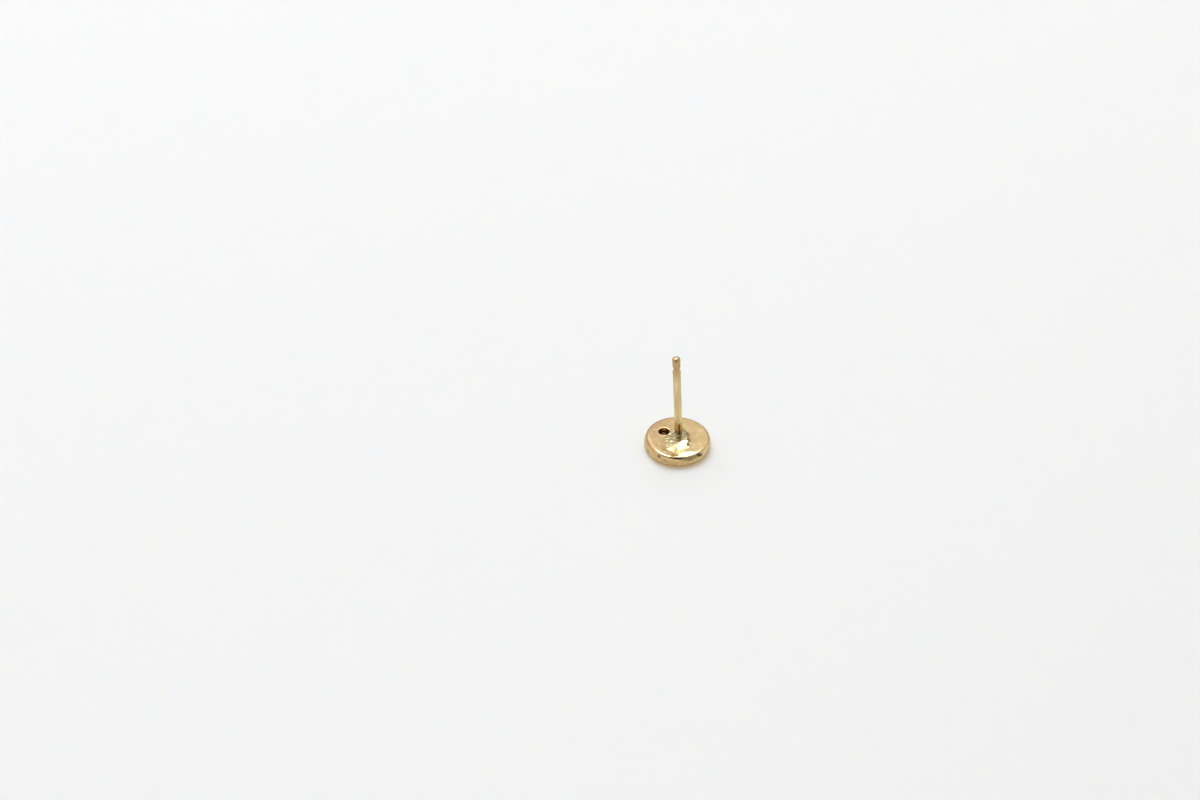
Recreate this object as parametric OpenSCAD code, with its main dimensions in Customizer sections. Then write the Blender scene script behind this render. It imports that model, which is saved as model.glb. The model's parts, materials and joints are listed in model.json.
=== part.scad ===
// Disc stud earring with one small round diamond set flush in its face.
// The stud lies face down: the face is on z = 0 and the post stands up.
// Lengths are in millimetres and angles in degrees.

/* [Disc] */
// Diameter across the disc
disc_d = 7.0; // [6.4:0.1:9]
// Thickness of the disc, face to back
disc_t = 1.3; // [1.25:0.05:1.8]
// Radius that rounds the edge of the back
back_edge_r = 0.42; // [0.2:0.02:0.5]
// Radius that rounds the edge of the face
face_edge_r = 0.36; // [0.2:0.02:0.5]

/* [Post] */
// Diameter of the post's wire
post_d = 0.82; // [0.7:0.01:1]
// Height of the post's tip above the back of the disc
post_h = 10.4; // [9:0.1:12]
// Where the post stands, right of the disc's centre
post_x = 0.14; // [0:0.02:0.4]
// Where the post stands, behind the disc's centre
post_y = 0.69; // [0.4:0.01:0.9]
// Lean of the post to the left
lean_left = 2.8; // [0:0.1:4]
// Lean of the post to the front
lean_front = 2.4; // [0:0.1:4]
// Diameter of the rounded tip and of the ring below the groove
tip_d = 0.86; // [0.7:0.01:1.1]
// Length of the tip, down to the groove
tip_len = 1.24; // [1:0.02:1.5]
// Diameter at the bottom of the groove
groove_d = 0.6; // [0.5:0.02:0.66]

/* [Solder] */
// Width of the flat mound of solder round the post
solder_w = 2.3; // [1.8:0.1:2.4]
// Height of the mound above the back of the disc
solder_h = 0.17; // [0.1:0.01:0.25]
// How far the mound's centre lies in front of the post
solder_shift = 0.34; // [0:0.02:0.4]
// Radius of the solder drawn up round the foot of the post
fillet_r = 0.46; // [0.3:0.02:0.5]

/* [Diamond] */
// Diameter of the stone at its girdle
stone_d = 1.8; // [1.6:0.05:1.9]
// Where the stone sits, left of the disc's centre
stone_x = 1.4; // [1.3:0.05:1.6]
// Where the stone sits, behind the disc's centre
stone_y = 0.87; // [0.7:0.01:1]
// Diameter of the open hole behind the stone
back_hole_d = 1.16; // [1:0.02:1.2]
// Distance from the face to the stone's table
table_depth = 0.03; // [0.02:0.01:0.05]
// Gap between the stone and the metal that holds it
stone_gap = 0.02; // [0.01:0.01:0.03]

/* [Hidden] */

$fn = 96;
disc_r = disc_d / 2;
post_r = post_d / 2;
tip_r = tip_d / 2;
groove_r = groove_d / 2;
hole_r = back_hole_d / 2;
gold = [0.83, 0.65, 0.38];
clear = [0.92, 0.94, 0.97];
over = 0.2;               // how far a cut runs past the face that it opens

// Lengths of the post's shaped end, measured down from its tip
dome_r = 0.5;
neck_down = tip_len + 0.22;
neck_len = 0.1;
ring_down = tip_len + 0.8;
shaft_down = tip_len + 1.13;
post_root = 0.6;          // length of the post that is sunk in the disc and solder

// The solder's fillet runs a little under the back, so that it meets it all round
fillet_root = 0.3;
fillet_sink = 0.05;
solder_root = 0.3;        // depth of the mound's solid below the back of the disc
solder_skirt = 0.1;       // how far that solid reaches past the mound's edge

// Proportions of a round brilliant, as shares of its girdle diameter
table_share = 0.56;
crown_share = 0.15;
girdle_share = 0.03;
pavilion_share = 0.43;
star_share = 0.55;        // how far a star facet reaches from the table to the girdle
lower_share = 0.23;       // radius where the long lower facets end
cut_n = 8;                // main facets on the crown and on the pavilion

stone_r = stone_d / 2;
table_r = stone_r * table_share;
table_z = table_depth;
girdle_z0 = table_z + stone_d * crown_share;
girdle_z1 = girdle_z0 + stone_d * girdle_share;
culet_z = girdle_z1 + stone_d * pavilion_share;
pavilion_slope = (culet_z - girdle_z1) / stone_r;

// Radii of the seat that is cut in the metal
seat_r = stone_r + stone_gap;
lip_r = stone_r - 0.03;   // the metal's lip is pushed over the girdle this far
lip_z = girdle_z0 - 0.06; // height of the lip's edge
mouth_r = stone_r + 0.12; // the bright-cut slope meets the face here
bearing_z = girdle_z1 + stone_gap;
bearing_end_z = bearing_z + (seat_r - hole_r) * pavilion_slope;
hole_edge = 0.06;         // chamfer of the hole's edge on the back

// A point at a radius, an angle and a height
function at(radius, angle, z) = [radius * cos(angle), radius * sin(angle), z];

// One value between two, at a share of the way
function between(a, b, share) = a + (b - a) * share;

// Vertices of the stone, ring by ring from the table to the culet
function brilliant_points() =
    let (
        step = 360 / cut_n,
        star_r = between(table_r, stone_r, star_share),
        star_z = between(
            table_z,
            girdle_z0,
            (star_r * cos(step / 2) - table_r) / (stone_r - table_r)
        ),
        lower_r = stone_r * lower_share,
        lower_z = between(
            culet_z,
            girdle_z1,
            lower_r * cos(step / 2) / stone_r
        )
    )
    concat(
        [for (i = [0 : cut_n - 1]) at(table_r, i * step, table_z)],
        [for (i = [0 : cut_n - 1]) at(star_r, (i + 0.5) * step, star_z)],
        [for (i = [0 : 2 * cut_n - 1]) at(stone_r, i * step / 2, girdle_z0)],
        [for (i = [0 : 2 * cut_n - 1]) at(stone_r, i * step / 2, girdle_z1)],
        [for (i = [0 : cut_n - 1]) at(lower_r, (i + 0.5) * step, lower_z)],
        [[0, 0, culet_z]]
    );

// Facets of the stone, as lists of vertex numbers, wound clockwise from outside
function brilliant_faces() =
    let (
        n = cut_n,
        m = 2 * cut_n,
        star = n,
        upper = 2 * n,
        under = 4 * n,
        lower = 6 * n,
        culet = 7 * n,
        table = [[for (i = [0 : n - 1]) i]],
        stars = [for (i = [0 : n - 1]) [i, star + i, (i + 1) % n]],
        kites = [
            for (i = [0 : n - 1])
                [i, star + (i + n - 1) % n, upper + 2 * i, star + i]
        ],
        crown_halves = [
            for (i = [0 : n - 1])
                for (side = [0, 1])
                    [
                        star + i,
                        upper + 2 * i + side,
                        upper + (2 * i + side + 1) % m
                    ]
        ],
        girdle = [
            for (i = [0 : m - 1])
                [upper + i, under + i, under + (i + 1) % m, upper + (i + 1) % m]
        ],
        lower_halves = [
            for (i = [0 : n - 1])
                for (side = [0, 1])
                    [
                        lower + i,
                        under + (2 * i + side + 1) % m,
                        under + 2 * i + side
                    ]
        ],
        mains = [
            for (i = [0 : n - 1])
                [culet, lower + i, under + 2 * i, lower + (i + n - 1) % n]
        ]
    )
    concat(table, stars, kites, crown_halves, girdle, lower_halves, mains);

// Half outline of the disc, with both edges rounded
module disc_profile() {
    translate([disc_r - back_edge_r, disc_t - back_edge_r])
        circle(r = back_edge_r);
    translate([disc_r - face_edge_r, face_edge_r])
        circle(r = face_edge_r);
    polygon([
        [0, 0],
        [disc_r - face_edge_r, 0],
        [disc_r - face_edge_r, face_edge_r],
        [disc_r, face_edge_r],
        [disc_r, disc_t - back_edge_r],
        [disc_r - back_edge_r, disc_t - back_edge_r],
        [disc_r - back_edge_r, disc_t],
        [0, disc_t]
    ]);
}

// Round disc with rounded edges
module disc() {
    rotate_extrude() disc_profile();
}

// Turns and places what stands on the back of the disc along the post's axis
module on_post() {
    translate([post_x, post_y, disc_t])
        rotate([lean_front, -lean_left, 0])
            children();
}

// Wire post with a rounded tip, a groove for the clutch and a ring below it
module post() {
    on_post() {
        translate([0, 0, -post_root])
            cylinder(h = post_h - shaft_down + post_root, r = post_r);
        intersection() {
            rotate_extrude()
                polygon([
                    [0, post_h - shaft_down],
                    [post_r, post_h - shaft_down],
                    [tip_r, post_h - ring_down],
                    [groove_r, post_h - neck_down - neck_len],
                    [groove_r, post_h - neck_down],
                    [tip_r, post_h - tip_len],
                    [tip_r, post_h],
                    [0, post_h]
                ]);
            translate([0, 0, post_h - dome_r])
                union() {
                    sphere(r = dome_r);
                    translate([0, 0, -shaft_down])
                        cylinder(h = shaft_down, r = dome_r);
                }
        }
    }
}

// Low mound of solder in front of the post, and the solder drawn up its foot
module solder() {
    // radius of the ball whose cap has the mound's width and height
    ball_r = (pow(solder_w / 2, 2) + pow(solder_h, 2)) / (2 * solder_h);
    intersection() {
        translate([post_x, post_y - solder_shift, disc_t + solder_h - ball_r])
            sphere(r = ball_r);
        translate([post_x, post_y - solder_shift, disc_t - solder_root])
            cylinder(h = solder_root + solder_h, r = solder_w / 2 + solder_skirt);
    }
    on_post()
        translate([0, 0, -fillet_root])
            rotate_extrude()
                difference() {
                    square([post_r + fillet_r, fillet_root + fillet_r - fillet_sink]);
                    translate([post_r + fillet_r, fillet_root + fillet_r - fillet_sink])
                        circle(r = fillet_r);
                }
}

// Space that the stone's seat and the open hole behind it take from the disc
module seat() {
    translate([-stone_x, stone_y, 0])
        rotate_extrude()
            polygon([
                [0, -over],
                [mouth_r, -over],
                [mouth_r, 0],
                [lip_r, lip_z],
                [seat_r, girdle_z0 - stone_gap],
                [seat_r, bearing_z],
                [hole_r, bearing_end_z],
                [hole_r, disc_t - hole_edge],
                [hole_r + hole_edge, disc_t],
                [hole_r + hole_edge, disc_t + over],
                [0, disc_t + over]
            ]);
}

// Disc, solder and post, which are one piece of metal
module disc_with_post() {
    color(gold)
        difference() {
            union() {
                disc();
                solder();
                post();
            }
            seat();
        }
}

// Round brilliant, table down, set flush in the disc's face
module diamond() {
    color(clear)
        translate([-stone_x, stone_y, 0])
            polyhedron(brilliant_points(), brilliant_faces(), convexity = 2);
}

disc_with_post();
diamond();
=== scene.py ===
"""Disc stud earring, face down on a pale surface, seen as in the photograph.

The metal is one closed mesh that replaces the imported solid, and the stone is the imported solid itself.
Lengths are in millimetres until a mesh is made. The part's frame is used throughout: the disc's front is
on z = 0, the post stands up along +Z and the camera looks along +Y. Places round the disc are in degrees
from +X towards +Y, so its front edge is at -90.
"""

import json
import math

import bmesh
import bpy
import numpy as np
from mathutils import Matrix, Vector, noise
from mathutils.geometry import delaunay_2d_cdt


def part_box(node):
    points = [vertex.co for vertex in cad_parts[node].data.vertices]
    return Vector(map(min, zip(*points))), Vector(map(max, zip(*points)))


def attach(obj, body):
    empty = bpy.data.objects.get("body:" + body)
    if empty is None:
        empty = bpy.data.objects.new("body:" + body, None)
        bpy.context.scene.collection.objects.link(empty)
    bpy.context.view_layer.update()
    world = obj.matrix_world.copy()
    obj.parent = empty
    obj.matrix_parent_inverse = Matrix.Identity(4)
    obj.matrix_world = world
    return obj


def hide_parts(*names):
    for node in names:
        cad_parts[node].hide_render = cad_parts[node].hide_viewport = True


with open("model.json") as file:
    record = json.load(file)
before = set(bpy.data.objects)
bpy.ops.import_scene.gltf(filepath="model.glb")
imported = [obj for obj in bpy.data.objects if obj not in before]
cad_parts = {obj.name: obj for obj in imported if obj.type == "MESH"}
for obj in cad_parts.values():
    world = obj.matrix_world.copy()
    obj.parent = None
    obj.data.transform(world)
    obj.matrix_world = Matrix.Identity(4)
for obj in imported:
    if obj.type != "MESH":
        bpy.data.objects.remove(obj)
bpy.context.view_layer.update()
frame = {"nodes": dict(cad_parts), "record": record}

MM = 0.001
PHOTO_SIZE = (1200, 800)

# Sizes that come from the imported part
MOUNTS = {mount["name"]: mount for mount in frame["record"]["mounts"]}
METAL_LOW, METAL_HIGH = (np.array(corner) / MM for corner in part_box("disc_with_post"))
STONE_LOW, STONE_HIGH = (np.array(corner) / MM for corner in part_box("diamond"))
DISC_R = min(METAL_HIGH[0], -METAL_LOW[0], METAL_HIGH[1], -METAL_LOW[1])
DISC_T = MOUNTS["lobe_face"]["pos_m"][2] / MM
POST_R = MOUNTS["post"]["dims"]["r_mm"]
POST_AXIS = np.array(MOUNTS["post"]["axis"])
POST_POINT = np.array(MOUNTS["post"]["pos_m"]) / MM
POST_FOOT = POST_POINT - POST_AXIS * (POST_POINT[2] - DISC_T) / POST_AXIS[2]
POST_SIDE = np.array([1.0, 0, 0]) - POST_AXIS[0] * POST_AXIS
POST_SIDE = POST_SIDE / np.linalg.norm(POST_SIDE)
POST_BACK = np.cross(POST_AXIS, POST_SIDE)
STONE_AT = (STONE_LOW[:2] + STONE_HIGH[:2]) / 2
STONE_R = (STONE_HIGH[0] - STONE_LOW[0]) / 2
STONE_TABLE_Z = STONE_LOW[2]

# Disc: the rim's section turns from the back to the front, round two edges and a wall that bulges
RIM_STEPS = 480
BACK_EDGE_R = 0.34
FACE_EDGE_R = 0.31
FACE_EDGE_CHANGE = 0.03
BEVEL_TILT = 49
BEVEL_SPREAD = 9
WALL_SPREAD = 9
OUT_OF_ROUND = 0.012
RIM_INSET = 0.016
BACK_CROWN = 0.02
BACK_SINK = 0.01
FACE_CROWN = 0.014
FACE_UNEVEN = 0.006

# Stone's seat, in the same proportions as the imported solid's
GIRDLE_LOW = STONE_TABLE_Z + 0.15 * 2 * STONE_R
GIRDLE_HIGH = GIRDLE_LOW + 0.03 * 2 * STONE_R
PAVILION_SLOPE = 0.86
SEAT_GAP = 0.02
SEAT_STEPS = 144
MOUTH_R = STONE_R + 0.12
MOUTH_Z = 0.02
LIP_R = STONE_R - 0.03
LIP_DEPTH = 0.06
HOLE_R = 0.57
HOLE_EDGE = 0.085
HOLE_LIP = 0.01
HOLE_LIP_WIDTH = 0.1

# Post, measured down from its tip
POST_STEPS = 112
DOME_TOP_R = 0.55
DOME_EDGE_R = 0.2
POST_LENGTH = (METAL_HIGH[2] - DISC_T - DOME_TOP_R) / POST_AXIS[2] + DOME_TOP_R
SHAPED_LENGTH = 3.3
SHAFT_RINGS = 60
FOOT_RING_R = POST_R + 0.06
FILLET_R = 0.08

# Solder: a point of its crest, its height there, and its slope from there up to a shoulder on the right
CREST = (0.0, -1.25)
CREST_HEIGHT = 0.172
CREST_SLOPE = 0.118
SHOULDER = 0.5

# Solder behind this line gets lower
BEHIND_Y = -0.9
BEHIND_SLOPE = 0.046

# Filed solder in front of the crest: its fall to the right and ahead, and a steeper one to the right
FILED_FALL = (0.025, 0.2)
RIGHT_FALL = 0.095

# Thin end of the solder: its slopes along x and y, where it ends, and its greatest height
RUN_OUT_SLOPES = (0.012, 0.05)
RUN_OUT_END = -2.6
RUN_OUT_TOP = 0.036

# Height that soft corners add to flat metal, taken off again
SOFT_LIFT = 0.0035

# File's last stroke, from the solder to the disc's front edge
STROKE_X = 0.17
STROKE_HALF_WIDTH = 0.9
STROKE_START = -2.25
STROKE_SLOPE = 0.03

# Edge of the back that was filed down in front: its place, spreads, depth and inner radius
FILED_EDGE_AT = -69
FILED_EDGE_SPREADS = (14, 10)
FILED_EDGE_DEPTH = 0.15
FILED_EDGE_R = 2.62

# Edge of the back that is worn at the left, in a band that narrows to both sides
WEAR_AT = 192
WEAR_R = 2.73
WEAR_NARROWING = 0.00024
WEAR_SPREAD = 38
WEAR_SLOPES = (0.2, 0.45)

PIT_DEPTH = 0.014

# Unevenness of each surface, as rows of height, size and pattern
DISC_WAVES = ((0.01, 1.3, 1), (0.004, 0.55, 2))
OUTLINE_WAVES = ((0.22, 0.6, 3), (0.07, 0.2, 4))
LUMP_WAVES = ((0.008, 0.55, 7), (0.0055, 0.24, 8), (0.002, 0.1, 9))
FILE_MARK_WAVES = ((0.0034, 0.13, 11), (0.0014, 0.06, 12))
FILED_WAVES = ((0.008, 0.5, 13), (0.003, 0.16, 14))
RIM_WAVES = ((0.013, 0.85, 31),)
WALL_WAVES = ((0.008, 0.32, 32), (0.003, 0.13, 33))

# Back edge: changes of its radius, and of the bevel across it, as rows of degrees, spread and size
BACK_EDGE_CHANGES = ((-94, 24, -0.2), (-140, 30, 0.03))
BEVELS = ((-86, 17, 0.21), (40, 60, 0.05))

# Tilts of the rim's surface from facing up, at which it has a ring
RIM_TILTS = (0, 3, 7, 12, 18, 24, 30, 35, 40, 44, 48, 52, 56, 61, 67, 72, 76, 80, 83, 86, 89)
RIM_TILTS += (92, 95, 98, 102, 107, 113, 120, 127, 134, 141, 148, 155, 162, 169, 175, 180)

PITS = (
    # x, y, radius, strength
    (-0.97, 0.22, 0.07, 0.9), (-0.86, 0.14, 0.08, 1.0), (-1.1, -0.03, 0.07, 0.8),
    (-1.2, -0.16, 0.08, 0.9), (-0.44, 0.44, 0.08, 1.0), (0.02, -0.37, 0.09, 1.0),
    (0.17, -0.38, 0.09, 1.0), (0.1, -0.52, 0.06, 0.9), (-0.12, -0.88, 0.07, 0.7),
    (0.05, -0.87, 0.08, 0.8), (-0.6, -1.04, 0.1, 0.45), (-0.48, -1.14, 0.07, 0.35),
    (0.84, 0.32, 0.1, 0.7), (1.02, 0.12, 0.08, 0.6), (0.5, -0.26, 0.09, 0.5),
    (1.06, -0.72, 0.08, 0.9), (1.04, -1.34, 0.08, 0.9), (0.1, -2.3, 0.06, 0.3),
    (-0.3, -2.1, 0.05, 0.3), (-1.25, -1.98, 0.2, 0.3), (-0.9, -1.78, 0.18, 0.35),
    (-0.6, -1.55, 0.12, 0.35), (-0.74, 0.04, 0.12, 0.4), (-0.52, -0.22, 0.1, 0.4),
    (-0.96, -0.42, 0.13, 0.4), (-0.36, 0.16, 0.09, 0.35), (-0.34, -0.66, 0.13, 0.3),
    (-0.8, -1.06, 0.14, 0.3),
)

# Drops of solder that stand out of it
LUMPS = (
    # x, y, radius, height
    (-0.68, -0.75, 0.13, 0.026), (-0.54, -0.67, 0.09, 0.012), (-1.05, -0.28, 0.12, 0.006),
    (-0.42, -0.22, 0.13, 0.016), (0.77, -0.2, 0.11, 0.012), (0.93, -0.48, 0.1, 0.012),
)

SOLDER_OUTLINE = (
    # y, x of the left edge, x of the right edge
    (-3.0, -0.45, 0.7),
    (-2.4, -0.8, 0.9),
    (-1.9, -1.2, 1.02),
    (-1.2, -1.3, 1.18),
    (-0.2, -1.28, 1.26),
    (0.5, -1.05, 1.1),
    (1.15, -0.55, 0.75),
    (1.45, -0.1, 0.4),
)

RIM_DENTS = (
    # degrees, height, radius, depth
    (-49, 0.96, 0.16, 0.06), (-55, 0.8, 0.1, 0.026), (-60, 0.86, 0.09, 0.026),
    (-65, 0.77, 0.09, 0.028), (-69, 1.05, 0.07, 0.018), (-71, 0.82, 0.09, 0.028),
    (-76, 0.78, 0.1, 0.018), (-41, 0.99, 0.1, 0.022), (-52, 1.08, 0.13, 0.055),
    (-47, 0.84, 0.13, 0.05), (-45, 0.72, 0.08, 0.03), (-31, 1.2, 0.05, 0.03),
    (-35, 1.19, 0.06, 0.034), (-40, 1.18, 0.05, 0.032), (-126, 0.95, 0.12, 0.045),
    (-134, 0.86, 0.09, 0.014), (-119, 0.84, 0.08, 0.014), (-112, 0.62, 0.2, 0.02),
    (-92, 0.55, 0.16, 0.016), (-155, 0.55, 0.2, 0.022), (20, 0.7, 0.22, 0.02),
    (48, 0.92, 0.12, 0.022), (75, 0.85, 0.2, 0.018), (112, 0.6, 0.16, 0.022),
    (140, 0.65, 0.24, 0.018), (176, 0.8, 0.14, 0.02),
)

# Post from its shaft to its dome: lower ring, groove and the tip's turned rings
TIP_SHAPE = (
    # distance from the tip, radius
    (3.15, 0.411), (2.95, 0.407), (2.75, 0.401), (2.5, 0.398),
    (2.3, 0.398), (2.2, 0.404), (2.12, 0.415), (2.04, 0.425),
    (1.97, 0.427), (1.9, 0.42), (1.82, 0.402), (1.74, 0.378),
    (1.65, 0.35), (1.56, 0.325), (1.49, 0.309), (1.43, 0.302),
    (1.38, 0.304), (1.34, 0.322), (1.3, 0.352), (1.26, 0.378),
    (1.21, 0.394), (1.14, 0.403), (1.04, 0.405), (0.94, 0.405),
    (0.89, 0.403), (0.84, 0.398), (0.79, 0.403), (0.73, 0.406),
    (0.68, 0.404), (0.63, 0.399), (0.58, 0.405), (0.5, 0.414),
    (0.4, 0.4225),
)


def ramp(low, high, value):
    """0 below low, 1 above high and smooth between them."""
    share = np.clip((value - low) / (high - low), 0, 1)
    return share * share * (3 - 2 * share)


def bell(value, centre, width):
    """A smooth bump of height one."""
    return np.exp(-(((value - centre) / width) ** 2))


def unit_bell(value, centre, width):
    """A smooth bump whose area is one."""
    return bell(value, centre, width) / (width * math.sqrt(math.pi))


def plateau(value, centre, width):
    """A smooth bump of height one with a flat top."""
    return np.exp(-(((value - centre) / width) ** 4))


def soft_max(first, second, softness):
    """The larger of two heights, with a rounded corner where they cross."""
    return softness * np.logaddexp(first / softness, second / softness)


def soft_min(first, second, softness):
    """The smaller of two heights, with a rounded corner where they cross."""
    return -soft_max(-first, -second, softness)


def wander(points, size, seed):
    """Smooth noise between about -1 and 1 whose features are of this size."""
    shift = Vector((seed * 7.31, seed * 3.17, seed * 5.77))
    return np.array([noise.noise(Vector(p) / size + shift) for p in points])


def largest(*values):
    """The largest of several numbers at each place."""
    return np.maximum.reduce(values)


def waves(points, table):
    """Sum of the unevenness that a table's rows give."""
    return sum(height * wander(points, size, seed) for height, size, seed in table)


def as_points(x, y, z=0.0):
    """Rows of x, y, z."""
    x, y = np.broadcast_arrays(np.asarray(x, float), np.asarray(y, float))
    return np.stack([x, y, np.broadcast_to(z, x.shape)], -1)


def circle(count):
    """Angles of this many points round a circle."""
    return np.arange(count) * 2 * math.pi / count


def turned_from(angle, centre):
    """Degrees round the disc from a centre, between -180 and 180."""
    return (np.degrees(angle) - centre + 180) % 360 - 180


def round_distance(angle, centre):
    """Distance round the rim from a centre."""
    return np.radians(turned_from(angle, centre)) * DISC_R


def round_bell(angle, centre, spread):
    """A smooth bump of height one at a place round the disc."""
    return bell(turned_from(angle, centre), 0, spread)


def round_bells(angle, table):
    """Sum of the bumps round the disc that a table's rows give."""
    return sum(size * round_bell(angle, centre, spread) for centre, spread, size in table)


def from_stone(x, y):
    """Distance from the stone's axis."""
    return np.hypot(x - STONE_AT[0], y - STONE_AT[1])


def from_foot(x, y):
    """Distance from the middle of the post's foot."""
    return np.hypot(x - POST_FOOT[0], y - POST_FOOT[1])


# Relief of the disc's back


def solder_depth(x, y):
    """How far a point is inside the solder's outline, which wanders."""
    rows, left, right = np.array(SOLDER_OUTLINE).T
    inside = np.minimum(x - np.interp(y, rows, left), np.interp(y, rows, right) - x)
    inside = np.minimum(inside, np.minimum(y - rows[0], rows[-1] - y))
    return inside + waves(as_points(x, y), OUTLINE_WAVES)


def solder_share(x, y):
    """1 on the solder round the post, less where it was filed bright, 0 on the disc's own metal."""
    filed_bright = ramp(0.5, 0.9, CREST[1] - y)
    return ramp(-0.08, 0.18, solder_depth(x, y)) * (1 - 0.7 * filed_bright)


def file_marks(x, y):
    """Height of the streaks that the file left, which run the way it was pushed."""
    across = x * 0.98 + y * 0.2
    along = (y * 0.98 - x * 0.2) * 0.15
    return waves(as_points(across, along), FILE_MARK_WAVES)


def solder_height(x, y):
    """Height of the solder: lumpy round the post, and filed down in front of its crest."""
    points = as_points(x, y)
    right = x - CREST[0]
    ahead = CREST[1] - y
    fall_right = RIGHT_FALL * soft_max(right, 0, 0.08)
    top = CREST_HEIGHT + CREST_SLOPE * soft_min(right, SHOULDER, 0.05) + waves(points, LUMP_WAVES)
    top = top - BEHIND_SLOPE * soft_max(y - BEHIND_Y, 0, 0.1)
    filed = CREST_HEIGHT - FILED_FALL[0] * right - FILED_FALL[1] * ahead + waves(points, FILED_WAVES)
    filed = filed - fall_right * ramp(0.1, 1.0, ahead)
    run_out = RUN_OUT_SLOPES[0] * x + RUN_OUT_SLOPES[1] * (y - RUN_OUT_END) - fall_right
    run_out = soft_min(run_out, RUN_OUT_TOP, 0.005)
    height = soft_max(soft_min(top, filed, 0.004), run_out, 0.008)
    height = soft_max(height, 0, 0.005) - SOFT_LIFT
    height = height + file_marks(x, y) * ramp(0.0, 0.5, ahead)
    for lump_x, lump_y, lump_r, lump_height in LUMPS:
        height = height + lump_height * bell(np.hypot(x - lump_x, y - lump_y), 0, lump_r)
    return height * ramp(-0.12, 0.34, solder_depth(x, y))


def pit_share(x, y, spread=1.0):
    """1 in the pits of the solder and 0 off them. The spread makes each pit wider."""
    ragged = 1.0 + 0.9 * wander(as_points(x, y), 0.11, 15)
    share = 0 * x
    for pit_x, pit_y, pit_r, strength in PITS:
        distance = np.hypot(x - pit_x, (y - pit_y) * 1.3)
        share = np.maximum(share, strength * bell(distance * ragged, 0, pit_r * spread))
    return share


def front_edge_depth(radius, angle):
    """How far the back's edge was filed down at the front."""
    outer = np.clip((radius - FILED_EDGE_R) / (DISC_R - FILED_EDGE_R), 0, None)
    turned = turned_from(angle, FILED_EDGE_AT)
    spread = np.where(turned < 0, *FILED_EDGE_SPREADS)
    return FILED_EDGE_DEPTH * bell(turned, 0, spread) * outer**1.4


def left_edge_depth(radius, angle):
    """How far the back's edge is worn down at the left."""
    turned = turned_from(angle, WEAR_AT)
    past = soft_max(radius - WEAR_R - WEAR_NARROWING * turned**2, 0, 0.03)
    return bell(turned, 8, WEAR_SPREAD) * (WEAR_SLOPES[0] * past + WEAR_SLOPES[1] * past**2)


def stroke_height(x, y):
    """Height of what the file's last stroke left, in front of the solder."""
    past = soft_max(STROKE_START - y, 0, 0.06)
    marks = file_marks(x, y) * ramp(0, 0.3, past)
    return plateau(x, STROKE_X, STROKE_HALF_WIDTH) * (marks - STROKE_SLOPE * past)


def fillet_height(x, y):
    """Height of the solder drawn up round the post's foot."""
    reach = np.clip(POST_R + FILLET_R - from_foot(x, y), 0, FILLET_R - 0.01)
    return FILLET_R - np.sqrt(FILLET_R**2 - reach**2)


def back_height(x, y):
    """Height of the disc's back, with everything on it but the post."""
    x, y = np.broadcast_arrays(np.asarray(x, float), np.asarray(y, float))
    radius, angle = np.hypot(x, y), np.arctan2(y, x)
    height = DISC_T - BACK_SINK + waves(as_points(x, y), DISC_WAVES)
    height = height - BACK_CROWN * (radius / DISC_R) ** 2
    height = height - front_edge_depth(radius, angle) - left_edge_depth(radius, angle)
    height = height + stroke_height(x, y) + solder_height(x, y) - PIT_DEPTH * pit_share(x, y)
    lip = HOLE_LIP * bell(from_stone(x, y), HOLE_R + HOLE_EDGE, HOLE_LIP_WIDTH)
    return height + lip + fillet_height(x, y)


def face_height(x, y):
    """Height of the disc's front, which is a little crowned and rests on its middle."""
    uneven = 0.5 + 0.5 * wander(as_points(x, y), 1.1, 21)
    return FACE_CROWN * (np.hypot(x, y) / DISC_R) ** 2 + FACE_UNEVEN * uneven


# Closed surface of the metal


class Shell:
    """Vertices and faces of one closed surface."""

    def __init__(self):
        self.points = []
        self.faces = []

    def ring(self, points):
        """Adds points and gives their numbers."""
        start = len(self.points)
        self.points.extend(tuple(p) for p in points)
        return list(range(start, len(self.points)))

    def bridge(self, first, second):
        """Four-sided faces between two rings of as many points."""
        count = len(first)
        for i in range(count):
            j = (i + 1) % count
            self.faces.append((first[i], first[j], second[j], second[i]))
        return second

    def bridge_all(self, rings):
        """Faces between each ring and the next."""
        for first, second in zip(rings, rings[1:]):
            self.bridge(first, second)

    def cap(self, ring, tip):
        """Triangles from a ring to one point."""
        (top,) = self.ring([tip])
        for i, corner in enumerate(ring):
            self.faces.append((corner, ring[(i + 1) % len(ring)], top))

    def smallest_r(self, ring):
        """Smallest distance of a ring's points from the disc's axis."""
        x, y, _ = np.array(self.points)[ring].T
        return np.hypot(x, y).min()

    def fill(self, rings, inner, height):
        """Triangles between an outer ring and the rings of the holes in it, through inner points."""
        borders = [index for ring in rings for index in ring]
        which = {index: number for number, ring in enumerate(rings) for index in ring}
        inner_x, inner_y = inner.T
        numbers = borders + self.ring(as_points(inner_x, inner_y, height(inner_x, inner_y)))
        flat = [Vector(self.points[index][:2]) for index in numbers]
        edges = []
        start = 0
        for ring in rings:
            count = len(ring)
            edges += [(start + i, start + (i + 1) % count) for i in range(count)]
            start += count
        found = delaunay_2d_cdt(flat, edges, [], 0, 1e-7)
        for corners in found[2]:
            face = [numbers[found[3][corner][0]] for corner in corners]
            sides = {which.get(index, -1) for index in face}
            in_a_hole = len(sides) == 1 and min(sides) > 0
            if not in_a_hole:
                self.faces.append(tuple(face))


def grid(spacing, keep):
    """Points of a triangular grid over the disc, where keep says so."""
    rows = int(2 * DISC_R / (spacing * math.sqrt(0.75))) + 2
    columns = int(2 * DISC_R / spacing) + 2
    row, column = np.mgrid[0:rows, 0:columns]
    x = (column - columns / 2 + 0.5 * (row % 2)) * spacing
    y = (row - rows / 2) * spacing * math.sqrt(0.75)
    x, y = x.ravel(), y.ravel()
    chosen = keep(x, y)
    return np.stack([x[chosen], y[chosen]], -1)


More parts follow.
